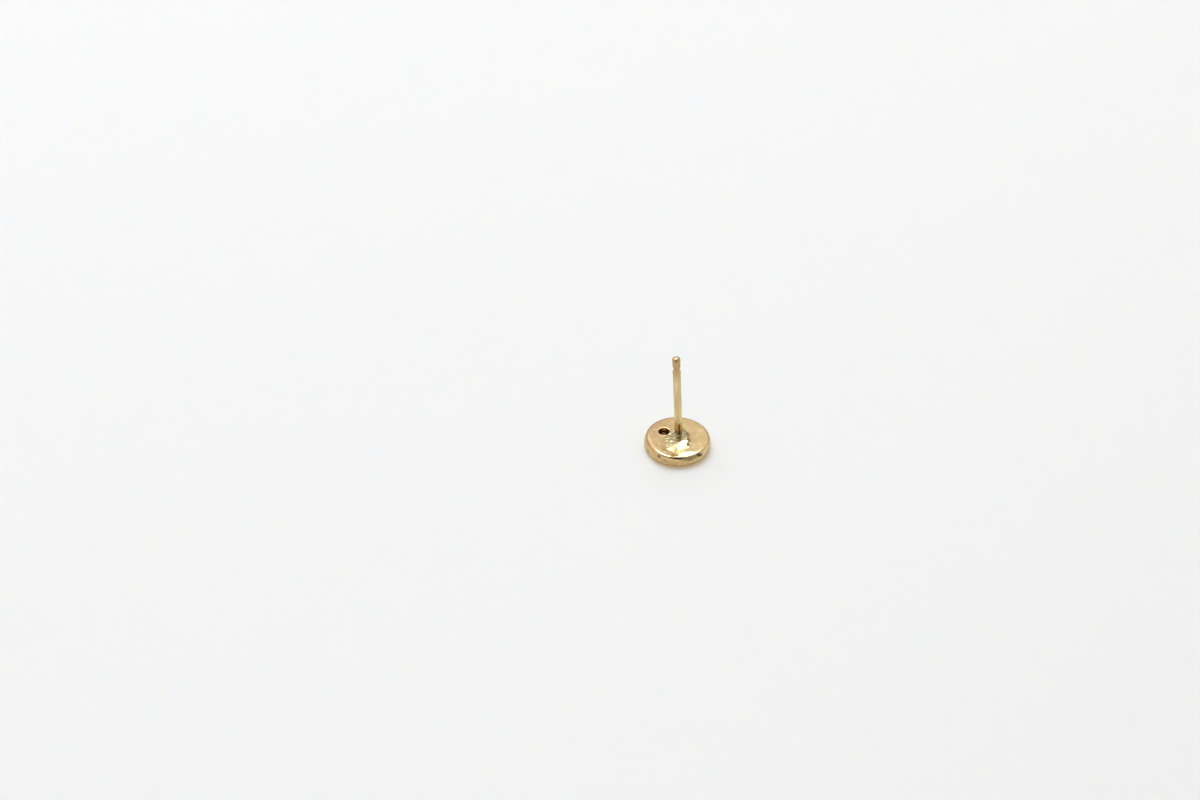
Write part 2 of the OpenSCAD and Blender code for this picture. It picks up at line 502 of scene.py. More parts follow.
def outline_r(angle):
    """Radius of the disc's outline, a little out of round."""
    wave = 0.5 + 0.3 * np.sin(2 * angle + 0.7) + 0.2 * np.sin(3 * angle + 2.1)
    return DISC_R - OUT_OF_ROUND * wave - 0.001


def rim_section(angle):
    """Inset and drop of the rim at each whole degree of tilt from 0 to 180, for angles round the disc."""
    tilt = np.arange(181)[:, None] + 0 * angle
    back = BACK_EDGE_R + round_bells(angle, BACK_EDGE_CHANGES)
    face = FACE_EDGE_R + FACE_EDGE_CHANGE * np.sin(angle + 1.0)
    blend = ramp(70, 110, tilt)
    turning = np.radians(back * (1 - blend) + face * blend)
    bevel = round_bells(angle, BEVELS)
    turning = turning + bevel * unit_bell(tilt, BEVEL_TILT, BEVEL_SPREAD)
    wall = unit_bell(tilt, 90, WALL_SPREAD)
    sine, cosine = np.sin(np.radians(tilt)), np.cos(np.radians(tilt))
    short = DISC_T - (turning * sine).sum(0)
    length = turning + wall * short / (wall * sine).sum(0)
    drop = np.cumsum(length * sine, 0) - length * sine / 2
    reach = np.cumsum(length * cosine, 0) - length * cosine / 2
    return reach.max(0) - reach, drop


def rim_push(angle, z, points, tilt):
    """How far the rim's surface is moved out along its own direction, by its unevenness and dents."""
    on_wall = ramp(52, 75, tilt)
    push = -RIM_INSET - waves(points, RIM_WAVES) - on_wall * waves(points, WALL_WAVES)
    for degrees, dent_z, dent_r, depth in RIM_DENTS:
        from_dent = np.hypot(0.7 * round_distance(angle, degrees), (z - dent_z) * 1.8)
        push = push - depth * bell(from_dent, 0, dent_r)
    return push


def rim_ring(angle, tilt, section):
    """Points of the rim where its surface is tilted this many degrees from facing up."""
    inset, drop = section[0][tilt], section[1][tilt]
    turn = math.radians(tilt)
    radius = outline_r(angle) - inset
    x, y = radius * np.cos(angle), radius * np.sin(angle)
    z = DISC_T - drop
    top_share = 1 - ramp(72, 108, tilt)
    bottom_share = ramp(110, 165, tilt)
    z = z + (back_height(x, y) - DISC_T) * top_share + face_height(x, y) * bottom_share
    points = as_points(x, y, z)
    on_rim = math.sin(turn)
    if on_rim < 0.01:
        return points
    outward = np.stack([on_rim * np.cos(angle), on_rim * np.sin(angle), np.cos(turn) + 0 * angle], -1)
    return points + outward * (rim_push(angle, z, points, tilt) * on_rim)[:, None]


def seat_ring(radius, z, share=0.0):
    """Points round the stone's axis. The share says how far they follow the back's relief."""
    angle = circle(SEAT_STEPS)
    x = STONE_AT[0] + radius * np.cos(angle)
    y = STONE_AT[1] + radius * np.sin(angle)
    return as_points(x, y, z + share * (back_height(x, y) - DISC_T))


def seat_profile():
    """Radius, height and share of the back's relief, from the mouth at the face to the open hole's edge."""
    bearing_z = GIRDLE_HIGH + SEAT_GAP
    seat_r = STONE_R + SEAT_GAP
    bearing_end = bearing_z + (seat_r - HOLE_R) * PAVILION_SLOPE
    lip_z = GIRDLE_LOW - LIP_DEPTH
    hole_top = DISC_T - HOLE_EDGE
    cut = [
        (MOUTH_R + (LIP_R - MOUTH_R) * share, MOUTH_Z + (lip_z - MOUTH_Z) * share, 0)
        for share in (0.05, 0.3, 0.6, 0.9)
    ]
    lip = [(LIP_R, lip_z, 0), (LIP_R + 0.003, lip_z + 0.012, 0), (seat_r, GIRDLE_LOW - SEAT_GAP, 0)]
    bearing = [(seat_r, bearing_z, 0), (HOLE_R + 0.01, bearing_end - 0.008, 0)]
    hole = [
        (HOLE_R, bearing_end + (hole_top - bearing_end) * share, share)
        for share in (0.06, 0.35, 0.7, 0.97)
    ]
    edge = [
        (HOLE_R + HOLE_EDGE * (1 - math.cos(turn)), hole_top + HOLE_EDGE * math.sin(turn), 1.0)
        for turn in np.radians((4, 20, 36, 52, 68))
    ]
    return cut + lip + bearing + hole + edge


def foot_circle(radius):
    """x and y of a circle round the post's axis at its foot."""
    angle = circle(POST_STEPS)
    return POST_FOOT[0] + radius * np.cos(angle), POST_FOOT[1] + radius * np.sin(angle)


def foot_profile():
    """Height above the disc's back and radius of the rings that draw the solder up to the post's side."""
    solder_top = float(np.mean(back_height(*foot_circle(FOOT_RING_R)))) - DISC_T
    arc_start = math.asin((POST_R + FILLET_R - FOOT_RING_R) / FILLET_R)
    drop = FILLET_R * (1 - math.cos(arc_start))
    rows = []
    for share in (0.25, 0.5, 0.75, 1.0):
        arc = arc_start + (math.pi / 2 - arc_start) * share
        height = solder_top - drop + FILLET_R * (1 - math.cos(arc))
        rows.append((height, POST_R + FILLET_R * (1 - math.sin(arc))))
    return rows


def dome_profile():
    """Height above the disc's back and radius of the dome's rings, flatter on top than at its edge."""
    degrees = np.arange(0.5, 90)
    turning = DOME_EDGE_R + (DOME_TOP_R - DOME_EDGE_R) * (1 - ramp(30, 50, degrees))
    tilt = np.radians(degrees)
    radius = np.cumsum(turning * np.cos(tilt)) * math.radians(1)
    drop = np.cumsum(turning * np.sin(tilt)) * math.radians(1)
    return [(POST_LENGTH - drop[i], radius[i]) for i in range(86, 2, -5)]


def post_profile():
    """Height above the disc's back and radius, from just above the foot's ring to the top of the dome."""
    foot = foot_profile()
    shaft_start = foot[-1][0] + 0.06
    heights = np.linspace(shaft_start, POST_LENGTH - SHAPED_LENGTH, SHAFT_RINGS)
    shaft = [(height, POST_R) for height in heights]
    shaped = [(POST_LENGTH - down, radius) for down, radius in TIP_SHAPE]
    return foot + shaft + shaped + dome_profile()


def post_ring(height, radius, lift):
    """Points round the post's axis, with each point raised by its own lift."""
    angle = circle(POST_STEPS)[:, None]
    centre = POST_FOOT + POST_AXIS * height
    points = centre + radius * (np.cos(angle) * POST_SIDE + np.sin(angle) * POST_BACK)
    wavy = 0.004 * wander(points * (1, 1, 0.5), 0.35, 41) + 0.002 * wander(points * (1, 1, 0.3), 0.15, 42)
    outward = points - centre
    outward = outward / np.linalg.norm(outward, axis=1)[:, None]
    return points + outward * np.minimum(wavy, 0.003)[:, None] + POST_AXIS * lift[:, None]


def add_rim(shell):
    """Rim of the disc. Gives its first ring, on the back, and its last, on the face."""
    angle = circle(RIM_STEPS)
    section = rim_section(angle)
    rings = [shell.ring(rim_ring(angle, tilt, section)) for tilt in RIM_TILTS]
    shell.bridge_all(rings)
    return rings[0], rings[-1]


def add_seat(shell):
    """Seat and open hole of the stone. Gives its first ring, on the face, and its last, on the back."""
    x, y, _ = seat_ring(MOUTH_R, 0).T
    rings = [shell.ring(as_points(x, y, face_height(x, y)))]
    rings += [shell.ring(seat_ring(*row)) for row in seat_profile()]
    rings.append(shell.ring(seat_ring(HOLE_R + HOLE_EDGE, DISC_T, 1.0)))
    shell.bridge_all(rings)
    return rings[0], rings[-1]


def add_post(shell):
    """Post with its rounded tip. Gives its first ring, on the back."""
    x, y = foot_circle(FOOT_RING_R)
    z = back_height(x, y)
    foot = shell.ring(as_points(x, y, z))
    start = z.mean() - DISC_T
    below = foot
    for height, radius in post_profile():
        fade = 1 - ramp(start, start + 0.35, height)
        below = shell.bridge(below, shell.ring(post_ring(height, radius, (z - z.mean()) * fade)))
    shell.cap(below, POST_FOOT + POST_AXIS * POST_LENGTH)
    return foot


def make_metal():
    """Surface of the disc, solder and post."""
    shell = Shell()
    back_rim, face_rim = add_rim(shell)
    mouth, hole_edge = add_seat(shell)
    foot = add_post(shell)
    back_r, face_r = shell.smallest_r(back_rim), shell.smallest_r(face_rim)

    def in_solder(x, y):
        return (np.abs(x + 0.05) < 1.45) & (y < 1.75) & (y > -2.75)

    def on_back(x, y, spacing):
        in_rim = np.hypot(x, y) < back_r - 0.6 * spacing
        off_hole = from_stone(x, y) > HOLE_R + HOLE_EDGE + 0.6 * spacing
        return in_rim & off_hole & (from_foot(x, y) > FOOT_RING_R + 0.6 * spacing)

    def on_face(x, y):
        return (np.hypot(x, y) < face_r - 0.05) & (from_stone(x, y) > MOUTH_R + 0.05)

    fine, coarse, plain = 0.034, 0.075, 0.09
    in_fine = grid(fine, lambda x, y: in_solder(x, y) & on_back(x, y, fine))
    in_coarse = grid(coarse, lambda x, y: ~in_solder(x, y) & on_back(x, y, coarse))
    shell.fill([back_rim, hole_edge, foot], np.concatenate([in_fine, in_coarse]), back_height)
    shell.fill([face_rim, mouth], grid(plain, on_face), face_height)
    return shell


def add_mesh(name, shell, sharp_from=38):
    """Object with a smooth-shaded mesh of the shell, its edges sharp from an angle in degrees."""
    mesh = bpy.data.meshes.new(name)
    mesh.from_pydata([tuple(np.array(p) * MM) for p in shell.points], [], shell.faces)
    work = bmesh.new()
    work.from_mesh(mesh)
    bmesh.ops.recalc_face_normals(work, faces=work.faces)
    for face in work.faces:
        face.smooth = True
    for edge in work.edges:
        edge.smooth = len(edge.link_faces) == 2 and edge.calc_face_angle() < math.radians(sharp_from)
    work.to_mesh(mesh)
    work.free()
    piece = bpy.data.objects.new(name, mesh)
    bpy.context.scene.collection.objects.link(piece)
    return piece


# Finish, wear, and painted light and shade of the metal, as a share at each of its points

# Dull places on the disc's back
STAINS = (
    # x, y, radius, strength
    (-1.45, 2.3, 1.1, 0.6), (0.3, 2.6, 0.9, 0.35), (-1.75, -1.85, 0.55, 0.9),
    (1.55, 0.6, 0.45, 0.4), (1.45, -0.4, 0.4, 0.35), (2.0, 2.1, 0.5, 0.25),
    (-2.5, 0.9, 0.5, 0.25),
)

# Marks on the rim, the first a spot of painted dark reflection: degrees, spread round the disc, height,
# spread in height
DARK_REFLECTION_SPOT = (-62, 15, 0.88, 0.15)
BROWN_BAND = (-61, 17, 0.92, 0.19)
ORANGE_STREAK = (-146, 11, 1.06, 0.11)

# Marks on the back's edge: strength, degrees, spread round the disc, radii where they begin and are full
PALE_EDGE = (0.5, -168, 30, 3.25, 3.42)
WORN_EDGE = (0.6, -172, 30, 2.75, 2.95)

# Satin of the post's wire: where it begins above the foot, and how much higher at its left and right
SATIN_START = 1.5
SATIN_HIGHER = (0.5, 0.05)

# Stripe of painted dark reflection up the foot of the post, in degrees from its front to the right
STRIPE_AT = 12
STRIPE_HALF_WIDTH = 13

# Painted dark reflection below the dome: how far below the tip and in front of the axis
TIP_REFLECTION_DOWN = 0.22
TIP_REFLECTION_FRONT = 0.37
TIP_REFLECTION_R = 0.13

# Rough patch before the post's foot: place and half sizes
BEFORE_FOOT_AT = (0.12, 0.02)
BEFORE_FOOT_SIZE = (0.36, 0.3)

# Brushed area that the file left
BRUSHED_X = 0.12
BRUSHED_HALF_WIDTH = 0.85
BRUSHED_SATIN = 0.15

# Below the tip: the bottom of its groove, and where the finish of the foot has ended
GROOVE_DOWN = 1.43
FOOT_END_DOWN = 4


class Places:
    """Where each point of the metal is: on the disc's back, its rim, the post or in the open hole."""

    def __init__(self, points):
        self.points = points
        self.x, self.y, self.z = points.T
        self.radius = np.hypot(self.x, self.y)
        self.angle = np.arctan2(self.y, self.x)
        self.along = (points - POST_FOOT) @ POST_AXIS
        self.from_tip = POST_LENGTH - self.along
        self.from_foot = from_foot(self.x, self.y)
        self.rightward = (points - POST_FOOT) @ POST_SIDE
        self.forward = (POST_FOOT - points) @ POST_BACK
        off_axis = np.linalg.norm(points - POST_FOOT - self.along[:, None] * POST_AXIS, axis=1)
        self.on_post = (off_axis < FOOT_RING_R + 0.02) & (self.along > 0.12)
        self.on_back = (self.z > DISC_T - 0.25) & (self.along < 0.6)
        self.in_hole = (from_stone(self.x, self.y) < HOLE_R + 0.02) & (self.z > GIRDLE_LOW - 0.03)
        self.outside = ramp(DISC_R - 0.3, DISC_R - 0.16, self.radius)
        self.on_rim = self.outside * (1 - ramp(DISC_T - 0.42, DISC_T - 0.26, self.z))
        self.on_cap = self.on_post * (1 - ramp(2.3, 3.6, self.from_tip))

    def rim_mark(self, mark):
        """Share of a mark at a place round the rim and a height."""
        degrees, spread, height, height_spread = mark
        return round_bell(self.angle, degrees, spread) * bell(self.z, height, height_spread)

    def edge_mark(self, mark):
        """Share of a mark along the outer edge of the back."""
        strength, degrees, spread, begins, is_full = mark
        return strength * round_bell(self.angle, degrees, spread) * ramp(begins, is_full, self.radius)


def wire_satin(at):
    """Satin of the post's wire, between its foot and its tip."""
    left = np.clip(-at.rightward / POST_R, 0, 1)
    right = np.clip(at.rightward / POST_R, 0, 1)
    start = SATIN_START + SATIN_HIGHER[0] * left + SATIN_HIGHER[1] * right
    below_tip = 1 - ramp(POST_LENGTH - 3.2, POST_LENGTH - 1.6, at.along)
    return ramp(start - 0.15, start + 0.15, at.along) * below_tip


def foot_share(at):
    """1 on the post below its satin, 0 elsewhere."""
    return at.on_post * (1 - wire_satin(at)) * (at.from_tip > FOOT_END_DOWN)


def brushed(at):
    """Fine roughness of the area that the file left in front of the solder's crest."""
    ahead = ramp(0.5, 0.85, CREST[1] - at.y) * (1 - ramp(2.75, 3.0, at.radius))
    return BRUSHED_SATIN * plateau(at.x, BRUSHED_X, BRUSHED_HALF_WIDTH) * ahead


def satin_share(at):
    """Satin: the post's wire, and less of it round its foot and where the file went."""
    round_foot = 0.35 * bell(at.from_foot, POST_R + 0.08, 0.1)
    off_x = (at.x - BEFORE_FOOT_AT[0]) / BEFORE_FOOT_SIZE[0]
    off_y = (at.y - BEFORE_FOOT_AT[1]) / BEFORE_FOOT_SIZE[1]
    before_foot = 0.42 * bell(np.hypot(off_x, off_y), 0, 1)
    rough_back = at.on_back * largest(round_foot, before_foot, brushed(at))
    return np.where(at.on_post, wire_satin(at), rough_back)


def solder_colour_share(at):
    """Paler solder on the disc's back and at the post's foot."""
    return np.where(at.on_back, solder_share(at.x, at.y), 0) * (1 - ramp(0.3, 0.55, at.along))


def tip_reflection(at):
    """Painted dark reflection below the dome, on its front."""
    middle = POST_FOOT + POST_AXIS * (POST_LENGTH - TIP_REFLECTION_DOWN) - TIP_REFLECTION_FRONT * POST_BACK
    return bell(np.linalg.norm((at.points - middle) * (1, 1, 1.5), axis=1), 0, TIP_REFLECTION_R)


def painted_dark_share(at):
    """Painted shade in the solder's pits, and painted dark reflection in the rim's dents, in a spot on the
    rim and below the dome.
    """
    # Painted shade in the pits, spread wider than the pits themselves
    share = np.where(at.on_back & ~at.in_hole, pit_share(at.x, at.y, 2.1), 0)
    # Painted dark reflection in the rim's dents, darker where they are deeper
    for degrees, dent_z, dent_r, depth in RIM_DENTS:
        from_dent = np.hypot(0.8 * round_distance(at.angle, degrees), (at.z - dent_z) * 1.5)
        in_dent = (26 * depth) ** 1.6 * bell(from_dent, 0, 1.3 * dent_r)
        share = np.maximum(share, np.minimum(1, in_dent) * at.outside)
    # Spot of painted dark reflection on the rim
    cloud = ramp(-0.15, 0.35, wander(at.points, 0.14, 51))
    dark_reflection_spot = 0.95 * at.rim_mark(DARK_REFLECTION_SPOT) * at.outside * cloud
    return largest(share, 0.35 * tip_reflection(at), dark_reflection_spot)


def pale_share(at):
    """Paler metal: the post's lower half and the back's left edge, and painted light on the rim's foot and
    right side.
    """
    # Painted light: the rim lighter low down and towards its right
    low_or_right = np.maximum(1 - ramp(0.15, 0.75, at.z), ramp(0.6, 2.2, at.x))
    rim_cloud = 0.95 + 0.45 * wander(at.points, 0.35, 61)
    rim_and_edge = np.maximum(at.on_rim * low_or_right * rim_cloud, at.edge_mark(PALE_EDGE))
    lower_half = 1 - ramp(2.2, 4.5, at.along)
    return np.clip(np.where(at.on_post, lower_half, rim_and_edge), 0, 1)


def orange_streak(at):
    """Orange streak on the left of the rim."""
    return at.rim_mark(ORANGE_STREAK) * ramp(3.05, 3.2, at.radius)


def grime_and_reflection_share(at):
    """Brown grime round the post, at its tip and in the hole; painted dark reflection in a stripe up the
    post's foot and below the dome; darker brown in a band and in the orange streak on the rim.
    """
    collar = 0.4 * bell(at.from_foot, POST_R + 0.03, 0.06) * at.on_back
    collar = collar * (0.7 + 0.6 * wander(at.points, 0.2, 52))
    turned = np.degrees(np.arctan2(at.rightward, at.forward))
    # Painted dark reflection in a stripe up the post's foot
    stripe = 0.9 * plateau(turned, STRIPE_AT, STRIPE_HALF_WIDTH) * foot_share(at)
    at_tip = at.on_cap * (0.12 + 0.12 * (at.from_tip < GROOVE_DOWN))
    at_tip = at_tip * (1 + 0.5 * wander(at.points, 0.3, 53))
    share = np.where(at.in_hole, 0.18, largest(collar, stripe, at_tip))
    band = 0.42 * at.rim_mark(BROWN_BAND) * at.outside
    # With painted dark reflection below the dome
    return np.clip(largest(share, 0.35 * orange_streak(at), band, 0.8 * tip_reflection(at)), 0, 1)


def stain_share(at):
    """Tarnish round the solder, in stains, on the worn edge and between file marks, and a duller brown band
    on the rim.
    """
    halo = 0.6 * ramp(-0.6, -0.05, solder_depth(at.x, at.y))
    stains = 0 * at.x
    for stain_x, stain_y, stain_r, strength in STAINS:
        stain = strength * bell(np.hypot(at.x - stain_x, at.y - stain_y), 0, stain_r)
        stains = np.maximum(stains, stain)
    streaky = as_points(at.x * 0.9 + at.y * 0.45, (at.y * 0.9 - at.x * 0.45) * 0.25)
    between_marks = 5.0 * brushed(at) * ramp(0.0, 0.45, wander(streaky, 0.16, 54))
    on_back = at.on_back * largest(halo, stains, at.edge_mark(WORN_EDGE), between_marks)
    return np.maximum(on_back, at.rim_mark(BROWN_BAND) * at.outside)


def dull_share(at):
    """Duller polish: the rim, less at its low right where it is painted lighter, and the post's tip, less on
    its dome.
    """
    # Painted light: less dull polish low on the rim's right side
    low_right = ramp(1.6, 2.6, at.x) * (1 - ramp(0.5, 0.8, at.z))
    off_dome = 0.4 + 0.6 * ramp(0.12, 0.4, at.from_tip)
    return np.maximum(at.on_rim * (1 - 0.6 * low_right), at.on_cap * off_dome)


def warm_share(at):
    """Warmer gold: the post's foot, as a painted reflection of the gold disc, and the orange streak on the
    rim.
    """
    return np.where(at.on_post, 0.8 * foot_share(at), orange_streak(at))


SHARES = {
    "satin": satin_share,
    "solder": solder_colour_share,
    "painted_dark": painted_dark_share,
    "pale": pale_share,
    "grime_and_dark_reflection": grime_and_reflection_share,
    "stain": stain_share,
    "dull": dull_share,
    "warm": warm_share,
}


def add_shares(piece):
    """Numbers at each of the mesh's points, for its material."""
    at = Places(np.array([v.co for v in piece.data.vertices]) / MM)
    for name, share in SHARES.items():
        layer = piece.data.attributes.new(name, "FLOAT", "POINT")
        layer.data.foreach_set("value", np.asarray(share(at), np.float32))


# Materials


class Nodes:
    """Short calls that add and link the nodes of one material or world."""

    def __init__(self, tree):
        self.tree = tree
        tree.nodes.clear()

    def add(self, kind, inputs=None, **settings):
        """A node with its settings, and its inputs linked or set."""
        node = self.tree.nodes.new("ShaderNode" + kind)
        for name, value in settings.items():
            setattr(node, name, value)
        for socket, value in (inputs or {}).items():
            self.put(node.inputs[socket], value)
        return node

    def put(self, socket, value):
        """Links a node's output to a socket, or sets the socket's own value."""
        if isinstance(value, bpy.types.NodeSocket):
            self.tree.links.new(value, socket)
        else:
            socket.default_value = value

    def maths(self, operation, first, second=0.0, third=0.0, clamp=False):
        """Result of a sum on one, two or three numbers."""
        inputs = {0: first, 1: second, 2: third}
        return self.add("Math", inputs, operation=operation, use_clamp=clamp).outputs[0]

    def times(self, first, second):
        """Product of two numbers."""
        return self.maths("MULTIPLY", first, second)

    def stretch(self, vector, factors):
        """Vector with each of its parts multiplied."""
        return self.add("VectorMath", {0: vector, 1: factors}, operation="MULTIPLY").outputs[0]

    def millimetres(self):
        """Place on the object, in millimetres."""
        place = self.add("TexCoord").outputs["Object"]
        return self.add("VectorMath", {0: place, "Scale": 1 / MM}, operation="SCALE").outputs[0]

    def noise(self, vector, scale, detail=2.0, roughness=0.5, distortion=0.0):
        """Noise from 0 to 1."""
        inputs = {"Vector": vector, "Scale": scale, "Detail": detail}
        inputs.update({"Roughness": roughness, "Distortion": distortion})
        return self.add("TexNoise", inputs).outputs["Fac"]

    def span(self, value, low, high, to_low=0.0, to_high=1.0):
        """The value's place between low and high, moved to between two others."""
        inputs = {"Value": value, "From Min": low, "From Max": high, "To Min": to_low, "To Max": to_high}
        return self.add("MapRange", inputs, interpolation_type="SMOOTHSTEP").outputs["Result"]

    def cloud(self, name, place):
        """One of the named clouds of the materials."""
        row = CLOUDS[name]
        return self.span(self.noise(place, *row[:4]), *row[4:])

    def blend(self, share, first, second):
        """Colour between two colours."""
        mix = self.add("Mix", data_type="RGBA")
        self.put(mix.inputs["Factor"], share)
        self.put(mix.inputs["A"], first)
        self.put(mix.inputs["B"], second)
        return mix.outputs["Result"]

    def shade(self, inputs):
        """Surface of the material."""
        shader = self.add("BsdfPrincipled", inputs)
        self.add("OutputMaterial", {"Surface": shader.outputs[0]})


def new_material(name):
    """An empty material and its nodes."""
    material = bpy.data.materials.new(name)
    material.use_nodes = True
    return material, Nodes(material.node_tree)


def colour(red, green, blue):
    """Linear colour with full alpha."""
    return (red, green, blue, 1.0)


ROSY_GOLD = colour(0.77, 0.505, 0.29)
YELLOW_GOLD = colour(0.84, 0.61, 0.31)
WARM_GOLD = colour(1.0, 0.64, 0.205)
DULL_GOLD = colour(0.66, 0.48, 0.212)
PALE_GOLD = colour(0.94, 0.75, 0.44)
SATIN_SHADE = colour(0.78, 0.64, 0.35)
SATIN_LIGHT = colour(0.95, 0.8, 0.47)
STRAW_GOLD = colour(1.0, 0.89, 0.52)
SOLDER_COLOUR = colour(0.58, 0.52, 0.31)
OLIVE_COLOUR = colour(0.3, 0.24, 0.11)
# Painted shade and dark reflections
PAINTED_DARK_COLOUR = colour(0.1, 0.08, 0.042)
# Grime, and painted dark reflections
GRIME_AND_REFLECTION_COLOUR = colour(0.18, 0.095, 0.034)
# Brown film on the stone's back, in painted shade deeper down and lit higher up
FILM_IN_SHADE = colour(0.2, 0.115, 0.036)
FILM_LIT = colour(0.34, 0.22, 0.07)
WHITE = colour(1, 1, 1)
EDGE_TINT = colour(0.6, 0.56, 0.48)

# Clouds of the materials: noise, of which low to high becomes least to most
CLOUDS = {
    # scale, detail, roughness, distortion, low, high, least, most
    "mottle": (0.8, 4, 0.6, 0.6, 0.3, 0.7, -0.35, 0.45),
    "pale": (0.8, 6, 0.7, 0.9, 0.47, 0.68, 0.0, 0.8),
    "tarnish": (1.1, 6, 0.75, 0.6, 0.5, 0.7, 0.0, 0.5),
    "dull": (1.6, 4, 0.6, 0.0, 0.3, 0.7, 0.55, 1.0),
    "wire": (2.6, 3, 0.6, 0.0, 0.35, 0.65, 0.0, 1.0),
    "solder": (3.0, 4, 0.6, 0.0, 0.3, 0.7, 0.65, 1.0),
    "flecks": (5.0, 5, 0.65, 0.5, 0.48, 0.68, 0.0, 1.0),
    "rough": (2.2, 4, 0.6, 0.0, 0.3, 0.75, 0.09, 0.18),
    "rough_dull": (2.2, 4, 0.6, 0.0, 0.35, 0.7, 0.08, 0.24),
    "rough_wire": (12, 4, 0.6, 0.0, 0.3, 0.7, 0.36, 0.5),
    "rough_solder": (4, 3, 0.5, 0.0, 0.3, 0.7, 0.08, 0.2),
    "film": (5, 3, 0.5, 0.0, 0.35, 0.65, 0.7, 0.98),
}

# Stretch of the clouds along the drawn wire, and of the scratches that polishing left
WIRE_STRETCH = (1, 1, 0.08)
SCRATCH_STRETCH = (2.2, 0.5, 1)


def gold_colour(nodes, place, drawn, share):
    """Rosy to yellow gold with pale and tarnished clouds, then each kind of finish and of painted light and
    shade over it.
    """
    left_to_right = nodes.span(nodes.add("SeparateXYZ", {0: place}).outputs["X"], -3.0, 2.0)
    mottle = nodes.maths("ADD", left_to_right, nodes.cloud("mottle", place), clamp=True)
    metal = nodes.blend(mottle, ROSY_GOLD, YELLOW_GOLD)
    metal = nodes.blend(nodes.cloud("pale", place), metal, PALE_GOLD)
    metal = nodes.blend(nodes.cloud("tarnish", place), metal, DULL_GOLD)
    dull_or_stained = nodes.maths("MAXIMUM", share["dull"], share["stain"])
    metal = nodes.blend(nodes.times(dull_or_stained, nodes.cloud("dull", place)), metal, DULL_GOLD)
    metal = nodes.blend(share["pale"], metal, PALE_GOLD)
    # Painted reflection of the gold disc on the post's foot, and the orange streak on the rim
    metal = nodes.blend(share["warm"], metal, WARM_GOLD)
    wire = nodes.blend(nodes.cloud("wire", drawn), SATIN_SHADE, SATIN_LIGHT)
    metal = nodes.blend(share["satin"], metal, nodes.blend(share["pale"], wire, STRAW_GOLD))
    in_solder = nodes.times(share["solder"], nodes.cloud("solder", place))
    metal = nodes.blend(in_solder, metal, SOLDER_COLOUR)
    worn = nodes.maths("MAXIMUM", nodes.times(share["dull"], 0.38), nodes.times(share["solder"], 0.4))
    metal = nodes.blend(nodes.times(worn, nodes.cloud("flecks", place)), metal, OLIVE_COLOUR)
    # Painted shade in pits and painted dark reflections
    metal = nodes.blend(share["painted_dark"], metal, PAINTED_DARK_COLOUR)
    # Grime, and painted dark reflections on the post
    return nodes.blend(share["grime_and_dark_reflection"], metal, GRIME_AND_REFLECTION_COLOUR)


def gold_roughness(nodes, place, drawn, share):
    """Roughness of the polish, and what each kind of finish adds to it."""
    rough = nodes.cloud("rough", place)
    added = {
        "dull": nodes.cloud("rough_dull", place),
        "satin": nodes.cloud("rough_wire", drawn),
        "solder": nodes.cloud("rough_solder", place),
        "grime_and_dark_reflection": 0.35,
        "warm": 0.5,
    }
    for name, more in added.items():
        rough = nodes.maths("MULTIPLY_ADD", share[name], more, rough)
    return rough


def gold_relief(nodes, place, drawn, share):
    """Fine scratches all over, and the streaks of the drawn wire."""
    scratches = nodes.times(nodes.noise(nodes.stretch(place, SCRATCH_STRETCH), 9, 4), 0.12)
    streaks = nodes.times(nodes.noise(drawn, 12, 4, 0.6), 2.5)
    relief = nodes.maths("MULTIPLY_ADD", share["satin"], streaks, scratches)
    return nodes.add("Bump", {"Height": relief, "Strength": 0.25, "Distance": 0.02 * MM}).outputs[0]


def gold_material():
    """Worn yellow gold: mottled on the flats, duller on the rim, satin on the post."""
    material, nodes = new_material("gold_worked")
    place = nodes.millimetres()
    drawn = nodes.stretch(place, WIRE_STRETCH)
    share = {name: nodes.add("Attribute", attribute_name=name).outputs["Fac"] for name in SHARES}
    inputs = {
        "Base Color": gold_colour(nodes, place, drawn, share),
        "Metallic": 1.0,
        "Roughness": gold_roughness(nodes, place, drawn, share),
        "Specular Tint": EDGE_TINT,
        "Normal": gold_relief(nodes, place, drawn, share),
    }
    nodes.shade(inputs)
    return material


def diamond_material():
    """Clear cut stone, with the brown film of wear on its back, darker deeper down as painted shade."""
    material, nodes = new_material("diamond_cut")
    place = nodes.millimetres()
    height = nodes.add("SeparateXYZ", {0: place}).outputs["Z"]
    behind = nodes.span(height, GIRDLE_HIGH, GIRDLE_HIGH + 0.15)
    film = nodes.times(behind, nodes.cloud("film", place))
    # Painted shade: the film darker the deeper it lies
    film_colour = nodes.blend(nodes.span(height, 0.75, 1.08), FILM_IN_SHADE, FILM_LIT)
    inputs = {
        "Base Color": nodes.blend(behind, WHITE, film_colour),
        "Metallic": film,
        "Roughness": nodes.times(film, 0.5),
        "IOR": 2.417,
        "Transmission Weight": 1.0,
    }
    nodes.shade(inputs)
    return material


def floor_material():
    """Smooth pale surface, with a painted orange glow that lightens and warms its shadows."""
    material, nodes = new_material("pale_floor")
    inputs = {
        "Base Color": colour(0.618, 0.7, 0.784),
        "Emission Color": colour(1.0, 0.6, 0.14),
        "Emission Strength": 0.22,
        "Roughness": 0.45,
        "Specular IOR Level": 0.25,
        "Subsurface Weight": 1.0,
        "Subsurface Radius": (1.0, 0.75, 0.5),
        "Subsurface Scale": 1.2 * MM,
    }
    nodes.shade(inputs)
    return material


# Stage, light and camera

# Half width of the floor, in metres
FLOOR_HALF = 3.0

# Brightness of the surroundings as the camera sees them
BACKDROP = 0.905

# Dark opening in the surroundings, in front and above: its direction, and its half sizes
DARK_AT = (-88, 41)
DARK_SIZE = (0.5, 0.25, 0.25)
DARKNESS = 0.96

